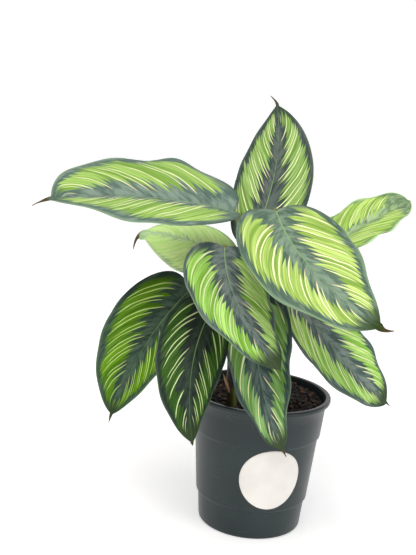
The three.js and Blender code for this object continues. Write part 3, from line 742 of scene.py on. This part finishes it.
def stalk_material(name, shoot):
    """Green stalks over a sheath that is nearly black above, dark brown deepened by painted
    shade, and dark olive below, with a yellow-green edge on its right."""
    g = Graph(
        f"shoot_{name}", Specular_IOR_Level=0.25, Subsurface_Weight=0.05, Subsurface_Scale=0.001
    )
    place = g.place()
    x, _, height = g.split(place)
    length, turn = g.uv("stalk")
    lines = g.noise(g.join(length * 3.0, turn * 22.0, height * 30.0), 1.0, 3.0)
    blotch = g.noise(place, 90.0, 3.0)
    olive = g.mix(g.step(0.35, 0.65, blotch), *OLIVE)
    foot = SOIL["level"] - SHEATH["depth"]
    rise = (height - foot * MM) * (shoot["lean"][0] / (SHEATH["top"] - foot))
    aside = x - rise - shoot["foot"][0] * MM
    olive = g.mix(g.step(-0.0004, 0.0014, aside) * 0.8, olive, OLIVE_EDGE)
    brown = g.mix(g.step(0.45, 0.70, lines), *BROWN_AND_SHADE)
    green = g.mix(g.step(0.3, 0.7, lines), *STALK_GREEN)
    # Between these heights the sheath turns nearly black: its own dark brown deepened by painted
    # shade.
    low, high = SHEATH["brown"]
    colour = g.mix(g.step(low * MM, high * MM, height + blotch * 0.006), olive, brown)
    low, high = SHEATH["green"]
    colour = g.mix(g.step(low * MM, high * MM, height + lines * 0.008), colour, green)
    g.colour(g.mix(g.step(0.90, 0.95, length) * 0.7, colour, KNEE_GREEN))
    g.roughness(0.38 + lines * 0.2)
    g.bump(lines * 0.6 + blotch * 0.4, 0.25)
    return g.material


def bezier(points, t):
    t = np.asarray(t)[:, None]
    a, b, c, d = [np.array(p, float) for p in points]
    return (1 - t) ** 3 * a + 3 * t * (1 - t) ** 2 * b + 3 * t * t * (1 - t) * c + t**3 * d


def stalk_route(leaf, shoot):
    """Points of a stalk's middle line, from inside the soil to the foot of its blade."""
    rib = Midrib(leaf)
    _, tangent, normal, _ = rib.frame(np.array([0.0]))
    tangent, normal = tangent[0], normal[0]
    end = rib.base - 0.3 * tangent - 0.5 * normal
    x, y = shoot["foot"]
    heading = math.atan2(leaf["base"][1] - y, leaf["base"][0] - x)
    around = np.array([math.cos(heading), math.sin(heading), 0.0])
    lean = np.array([*shoot["lean"], 0.0])
    foot = np.array([x, y, 0.0])
    start = foot + lean + around * SHEATH["top_radius"] * 0.45
    start[2] = SHEATH["top"] - STALK["root"]
    rise = end[2] - start[2]
    arrive = unit(tangent + normal * STALK["lean"])
    climb = start + [0, 0, STALK["climb"] * rise]
    upper = bezier([start, climb, end - arrive * STALK["reach"], end], np.linspace(0, 1, 64))
    bottom = foot + around * STALK["foot_ring"]
    bottom[2] = SOIL["level"] - SHEATH["depth"] + 1
    collar = foot + around * STALK["foot_ring"] + lean * 0.1
    collar[2] = SOIL["level"] + 5
    lower = bezier([bottom, collar, start - [0, 0, 8], start], np.linspace(0, 1, 24))[:-1]
    return np.concatenate([lower, upper])


def tube(route, radii, sides):
    """Points and faces of a closed tube along a route, with each point's share and turn."""
    tangents = unit(np.gradient(route, axis=0))
    normal = np.array([1.0, 0.0, 0.0])
    points, faces, marks = [], [], []
    shares = travelled(route)
    for centre, tangent, radius, share in zip(route, tangents, radii, shares / shares[-1]):
        normal = unit(normal - (normal @ tangent) * tangent)
        binormal = np.cross(tangent, normal)
        for k in range(sides):
            turn = 2 * math.pi * k / sides
            points.append(centre + radius * (math.cos(turn) * normal + math.sin(turn) * binormal))
            marks.append((share, k / sides))
    for i in range(len(route) - 1):
        for k in range(sides):
            a, b = i * sides + k, i * sides + (k + 1) % sides
            faces.append((a, b, b + sides, a + sides))
    last = (len(route) - 1) * sides
    faces.append(tuple(range(sides))[::-1])
    faces.append(tuple(range(last, last + sides)))
    return points, faces, marks


def make_shoot(name, shoot, material):
    points, faces, marks = [], [], []
    for leaf in (l for l in LEAVES.values() if l["shoot"] == name):
        route = stalk_route(leaf, shoot)
        done = travelled(route)
        left = done[-1] - done
        sheathed = 1 - smooth(STALK["flare_from"], STALK["flare_to"], route[:, 2])
        radii = STALK["radius"] + STALK["flare"] * sheathed
        knob = smooth(STALK["knob_length"] + 4, STALK["knob_length"] - 2, left)
        radii = radii + (STALK["knob_radius"] - STALK["radius"]) * knob
        radii = radii - STALK["taper"] * smooth(STALK["taper_length"], 0.0, left)
        more_points, more_faces, more_marks = tube(route, radii, STALK["sides"])
        faces += [tuple(k + len(points) for k in face) for face in more_faces]
        points += more_points
        marks += more_marks
    thing = mesh_object(f"shoot_{name}_stalks", np.array(points) * MM, faces, [material])
    add_map(thing.data, "stalk", marks)
    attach(thing, BODY)
    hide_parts(f"shoot_{name}")


def bract_material():
    g = Graph("dry_bract")
    length, over = g.uv("strip")
    fibre = g.noise(g.join(length * 2.0, over * 14.0), 1.0, 3.0)
    colour = g.mix(g.step(0.35, 0.65, fibre), *BRACT_BROWN)
    g.colour(g.mix(g.step(0.75, 1.0, length) * 0.7, colour, BRACT_TIP))
    g.roughness(0.55 + fibre * 0.2)
    g.bump(fibre, 0.2)
    return g.material


def make_bract():
    """The dried bract that has come away from the left sheath, a thin curled strip."""
    rows, columns = BRACT["rows"], BRACT["columns"]
    route = bezier(BRACT["route"], np.linspace(0, 1, rows + 1))
    tangents = unit(np.gradient(route, axis=0))
    half = BRACT["half_width"] * np.sin(np.pi * np.linspace(0.22, 0.97, rows + 1)) ** 0.7
    points, marks = [], []
    for skin in (BRACT["skin"], -BRACT["skin"]):
        for i, (centre, tangent) in enumerate(zip(route, tangents)):
            across = unit(np.cross(tangent, BRACT["face"]))
            out = np.cross(across, tangent)
            for j in range(columns + 1):
                over = 2 * j / columns - 1
                cup = -BRACT["cup"] * over * over * half[i]
                points.append(centre + across * over * half[i] + out * (cup + skin))
                marks.append((i / rows, j / columns))
    faces = sheet_faces(rows, columns)
    thing = mesh_object("dry_bract", np.array(points) * MM, faces, [bract_material()])
    add_map(thing.data, "strip", marks)
    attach(thing, BODY)


# ---- Pot

# Linear light.
PLASTIC = ((0.009, 0.019, 0.020), (0.014, 0.027, 0.028))
DUST = (0.16, 0.15, 0.13)


def wall_radius(z):
    """The pot's outer radius at a height."""
    slope = (POT["top_radius"] - POT["base_radius"] - 2 * POT["step_out"]) / POT["height"]
    starts = (POT["low_step"], POT["high_step"])
    steps = sum(float(smooth(start, start + POT["step_rise"], z)) for start in starts)
    return POT["base_radius"] + slope * z + POT["step_out"] * steps


def arc(centre, radius, start, end, count):
    turns = [math.radians(start + (end - start) * k / count) for k in range(count + 1)]
    return [(centre[0] + radius * math.cos(t), centre[1] + radius * math.sin(t)) for t in turns]


def pot_profile():
    """Radius and height from under the base, up outside, over the lip and down inside."""
    height, wall, corner, rnd = POT["height"], POT["wall"], POT["corner"], POT["lip_round"]
    under = height - POT["lip_height"]
    levels = [10, 17, 24]
    levels += [POT["low_step"] + POT["step_rise"] * k / 6 for k in range(7)]
    levels += [28, 36, 45, 54, 63, 72, 80]
    levels += [POT["high_step"] + POT["step_rise"] * k / 6 for k in range(7)]
    levels += [84, 92, 101, under - 0.8]
    profile = arc((wall_radius(corner) - corner, corner), corner, -90, -6, 6)
    profile += [(wall_radius(z), z) for z in levels]
    profile += [(wall_radius(under) + 0.7, under)]
    profile += arc((POT["lip_radius"] - rnd, under + rnd), rnd, -90, 0, 5)
    profile += arc((POT["lip_radius"] - rnd, height - rnd), rnd, 0, 90, 5)
    profile += arc((POT["top_radius"] - wall + rnd, height - rnd), rnd, 90, 180, 5)
    profile += [(wall_radius(z) - wall, z) for z in reversed(levels)]
    profile += [(wall_radius(POT["floor"]) - wall - corner / 3, POT["floor"])]
    return profile


def lathe_object(name, profile, sides, material, bottom, top):
    """A turned solid whose profile starts and ends on the axis, at heights bottom and top."""
    points = [(0, 0, bottom)]
    for r, z in profile:
        for k in range(sides):
            turn = 2 * math.pi * k / sides
            points.append((r * math.cos(turn), r * math.sin(turn), z))
    points.append((0, 0, top))
    return mesh_object(name, np.array(points) * MM, turned_faces(len(profile), sides), [material])


def pot_material():
    g = Graph("pot_plastic", Specular_IOR_Level=0.38)
    place = g.place()
    x, y, z = g.split(place)
    turn = g.math("ARCTAN2", y, x)
    drawn = g.noise(g.join(turn * 14.0, z * 10.0, 0.0), 1.0, 3.0)
    cloud = g.noise(place, 28.0, 3.0)
    grain = g.noise(place, 1400.0)
    colour = g.mix(g.step(0.3, 0.7, cloud), *PLASTIC)
    dust = g.step(0.56, 0.80, g.noise(place, 260.0, 5.0, 0.7)) * g.step(0.085, 0.112, z)
    scuff = g.step(0.66, 0.72, g.noise(g.join(x * 60.0, y * 60.0, z * 700.0), 1.0))
    g.colour(g.mix(dust * 0.22 + scuff * 0.10, colour, DUST))
    g.roughness(0.30 + cloud * 0.10 + dust * 0.25 + scuff * 0.12)
    g.bump(grain * 0.5 + drawn * 0.5, 0.05)
    return g.material


def make_pot():
    pot = lathe_object(
        "pot_body", pot_profile(), POT["sides"], pot_material(), 0, POT["floor"]
    )
    cutters = bmesh.new()
    for i in range(DRAIN["count"]):
        turn = (i + 0.5) / DRAIN["count"] * 2 * math.pi
        at = Vector((math.cos(turn), math.sin(turn), 0)) * DRAIN["ring"] * MM
        bmesh.ops.create_cone(
            cutters, cap_ends=True, segments=DRAIN["sides"], radius1=DRAIN["radius"] * MM,
            radius2=DRAIN["radius"] * MM, depth=0.01, matrix=Matrix.Translation(at),
        )
    mesh = bpy.data.meshes.new("drain_cutters")
    cutters.to_mesh(mesh)
    cutters.free()
    tool = add_object("drain_cutters", mesh)
    cut = pot.modifiers.new("drains", "BOOLEAN")
    cut.operation, cut.object, cut.solver = "DIFFERENCE", tool, "EXACT"
    graph = bpy.context.evaluated_depsgraph_get()
    made = bpy.data.meshes.new_from_object(pot.evaluated_get(graph))
    pot.modifiers.clear()
    pot.data = made
    bpy.data.objects.remove(tool)
    made.set_sharp_from_angle(angle=math.radians(40))
    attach(pot, BODY)
    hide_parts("pot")


# ---- Soil

# Linear light.
PEAT = ((0.004, 0.004, 0.005), (0.036, 0.028, 0.025))
PEAT_FIBRE = (0.14, 0.080, 0.050)
PEAT_GRIT = (0.25, 0.20, 0.15)
BARK = ((0.030, 0.016, 0.010), (0.13, 0.070, 0.036))
BARK_FIBRE = (0.22, 0.13, 0.075)


def soil_material():
    g = Graph("peat")
    place = g.place()
    clump = g.noise(place, 190.0, 4.0, 0.65)
    grit = g.noise(place, 900.0, 3.0, 0.7)
    fibre = g.stretched(place, (500, 160, 300), 3.0)
    colour = g.mix(g.step(0.40, 0.68, clump), *PEAT)
    colour = g.mix(g.step(0.55, 0.70, fibre) * 0.7, colour, PEAT_FIBRE)
    g.colour(g.mix(g.step(0.64, 0.74, grit) * 0.6, colour, PEAT_GRIT))
    g.roughness(0.75 + grit * 0.2)
    g.bump(grit * 0.6 + fibre * 0.4, 0.9)
    return g.material


def bark_material():
    g = Graph("bark_crumbs")
    place = g.place()
    tone = g.noise(place, 60.0)
    fibre = g.stretched(place, (900, 250, 500), 4.0)
    colour = g.mix(g.step(0.35, 0.65, tone), *BARK)
    g.colour(g.mix(g.step(0.5, 0.7, fibre) * 0.5, colour, BARK_FIBRE))
    g.roughness(0.70 + fibre * 0.2)
    g.bump(fibre, 0.5)
    return g.material


def soil_height(x, y):
    coarse = math.sin(0.21 * x + 1.3) * math.cos(0.17 * y - 0.4)
    fine = math.sin(0.63 * x - 0.51 * y) * math.cos(0.47 * x + 0.58 * y + 2.1)
    base = SOIL["level"] + SOIL["tilt"] * y + SOIL["relief"] * (0.55 * coarse + 0.45 * fine)
    lumps = noise.fractal(Vector((x * 0.22, y * 0.22, 3.0)), 0.9, 2.0, 5)
    return base + SOIL["lumps"] * lumps


def soil_rim():
    """Radius of the soil's top, which clears the wall where the heap is lowest."""
    lowest = SOIL["level"] - SOIL["relief"] - SOIL["tilt"] * POT["top_radius"]
    return wall_radius(lowest) - POT["wall"] - SOIL["clear"]


def make_soil():
    rim, rings, level = soil_rim(), SOIL["rings"], SOIL["level"]
    low = POT["floor"] + SOIL["lift"]
    profile = [(wall_radius(low) - POT["wall"] - SOIL["foot_clear"], low)]
    profile += [(wall_radius(z) - POT["wall"] - SOIL["clear"], z) for z in SOIL["levels"]]
    profile += [(rim * k / rings, level) for k in range(rings, 0, -1)]
    soil = lathe_object("soil_bed", profile, SOIL["sides"], soil_material(), low, level)
    for vertex in soil.data.vertices:
        x, y, z = vertex.co / MM
        if z > level - 1:
            vertex.co.z = soil_height(x, y) * MM
    soil.data.update()
    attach(soil, BODY)
    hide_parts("soil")


def crumb(builder, centre, size, stretch, random):
    """Adds one rough crumb, an icosphere pushed in and out."""
    turn = Matrix.Rotation(random.uniform(0, 2 * math.pi), 4, "Z")
    turn = turn @ Matrix.Rotation(random.uniform(-0.6, 0.6), 4, "X")
    scale = Matrix.Diagonal((size * stretch, size * random.uniform(0.6, 1.0), size * 0.55, 1))
    made = bmesh.ops.create_icosphere(
        builder, subdivisions=1, radius=MM, matrix=Matrix.Translation(centre * MM) @ turn @ scale
    )
    for vertex in made["verts"]:
        offset = noise.noise_vector(vertex.co * 1500 + Vector((size, stretch, 0)))
        vertex.co += offset * size * CRUMBS["roughness"] * MM


def make_crumbs():
    """Loose crumbs over the soil, clear of the shoots and smaller towards the wall."""
    random = np.random.RandomState(7)
    noise.seed_set(7)
    edge = soil_rim()
    for name, count, sizes, stretches, material in (
        ("peat_crumbs", 1100, (0.5, 1.9), (1.0, 1.7), soil_material()),
        ("bark_chips", 150, (1.2, 2.6), (1.2, 2.2), bark_material()),
    ):
        builder = bmesh.new()
        for _ in range(count):
            radius = (edge - CRUMBS["inset"]) * math.sqrt(random.uniform(0, 1))
            turn = random.uniform(0, 2 * math.pi)
            x, y = radius * math.cos(turn), radius * math.sin(turn)
            size = random.uniform(*sizes)
            feet = [shoot["foot"] for shoot in SHOOTS.values()]
            if any(math.hypot(x - a, y - b) < CRUMBS["shoot_clear"] for a, b in feet):
                continue
            spot = Vector((x, y, soil_height(x, y) + size * CRUMBS["lift"]))
            crumb(builder, spot, min(size, edge - radius), random.uniform(*stretches), random)
        mesh = bpy.data.meshes.new(name)
        builder.to_mesh(mesh)
        builder.free()
        mesh.materials.append(material)
        thing = add_object(name, mesh)
        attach(thing, BODY)


# ---- Label

# Linear light.
PAPER = ((0.80, 0.765, 0.715), (0.86, 0.83, 0.78))
PAPER_FIBRE = (0.72, 0.68, 0.62)


def paper_material():
    g = Graph("sticker_paper", Specular_IOR_Level=0.4)
    place = g.place()
    fibre = g.noise(place, 2200.0, 3.0)
    cloud = g.noise(place, 45.0, 3.0)
    colour = g.mix(g.step(0.3, 0.7, cloud), *PAPER)
    g.colour(g.mix(g.step(0.6, 0.8, fibre) * 0.25, colour, PAPER_FIBRE))
    g.roughness(0.52 + fibre * 0.12)
    g.bump(fibre * 0.6 + cloud * 0.4, 0.04)
    return g.material


def make_label():
    radius, thick, skin, bevel = [LABEL[k] for k in ("radius", "thickness", "skin", "bevel")]
    rings, sides = LABEL["rings"], LABEL["sides"]

    def on_wall(across, along, offset):
        z = LABEL["height"] + along
        r = wall_radius(z) + offset
        turn = math.radians(LABEL["azimuth"] - 90) + across / wall_radius(LABEL["height"])
        return (r * math.cos(turn), r * math.sin(turn), z)

    stations = [(radius * k / rings, thick) for k in range(1, rings)]
    stations += [(radius - bevel, thick), (radius, thick - bevel)]
    stations += [(radius, skin), (radius * 0.5, skin)]
    points = [on_wall(0, 0, thick)]
    for reach, offset in stations:
        for k in range(sides):
            turn = 2 * math.pi * k / sides
            points.append(on_wall(reach * math.cos(turn), reach * math.sin(turn), offset))
    points.append(on_wall(0, 0, skin))
    faces = [face[:1] + face[:0:-1] for face in turned_faces(len(stations), sides)]
    label = mesh_object("sticker", np.array(points) * MM, faces, [paper_material()])
    label.data.set_sharp_from_angle(angle=math.radians(50))
    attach(label, BODY)
    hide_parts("label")


# ---- Stage, light and camera

def make_stage():
    g = Graph("backdrop", Roughness=0.9, Emission_Strength=0.42, Emission_Color=(1, 1, 1, 1))
    g.colour(g.mix(g.noise(g.place(), 3.0) * 0.02, (0.90, 0.90, 0.90), (0.86, 0.86, 0.86)))
    profile = [(-3.0, 0.0)] + arc((1.2, 1.0), 1.0, -90, 0, 16) + [(2.2, 4.0)]
    points = [(x, y, z) for y, z in profile for x in (-4.0, 4.0)]
    faces = [(2 * i, 2 * i + 1, 2 * i + 3, 2 * i + 2) for i in range(len(profile) - 1)]
    floor = mesh_object("floor", points, faces, [g.material])


def make_light(name, at, size, power, colour):
    """A round lamp that looks at the middle of the plant."""
    data = bpy.data.lights.new(name, "AREA")
    data.shape = "DISK"
    data.size = size
    data.energy = power
    data.color = colour
    lamp = add_object(name, data)
    lamp.location = at
    way = Vector((0, 0, 0.2)) - Vector(at)
    lamp.rotation_euler = way.to_track_quat("-Z", "Y").to_euler()


def make_lights():
    world = bpy.data.worlds.new("studio")
    world.use_nodes = True
    background = world.node_tree.nodes["Background"]
    background.inputs["Color"].default_value = (1, 1, 1, 1)
    background.inputs["Strength"].default_value = 0.32
    bpy.context.scene.world = world
    make_light("key", (-0.22, -0.85, 1.45), 1.2, 18.5, (1.0, 0.98, 0.95))
    make_light("fill", (1.1, -0.9, 0.7), 1.0, 5, (0.96, 0.98, 1.0))


def make_camera():
    data = bpy.data.cameras.new("camera")
    data.lens = CAMERA_LENS
    data.sensor_width = CAMERA_SENSOR
    data.clip_start, data.clip_end = 0.05, 20
    camera = add_object("camera", data)
    back = CAMERA_RIGHT.cross(CAMERA_UP)
    turn = Matrix((CAMERA_RIGHT, CAMERA_UP, back)).transposed().to_4x4()
    camera.matrix_world = Matrix.Translation(CAMERA_AT) @ turn
    bpy.context.scene.camera = camera


make_camera()
make_stage()
make_lights()
make_pot()
make_soil()
make_crumbs()
make_label()
for shoot_name, shoot_parts in SHOOTS.items():
    make_shoot(shoot_name, shoot_parts, stalk_material(shoot_name, shoot_parts))
make_bract()
for leaf_name, leaf_parts in LEAVES.items():
    make_blade(leaf_name, leaf_parts)
bpy.context.scene.view_settings.view_transform = "Standard"
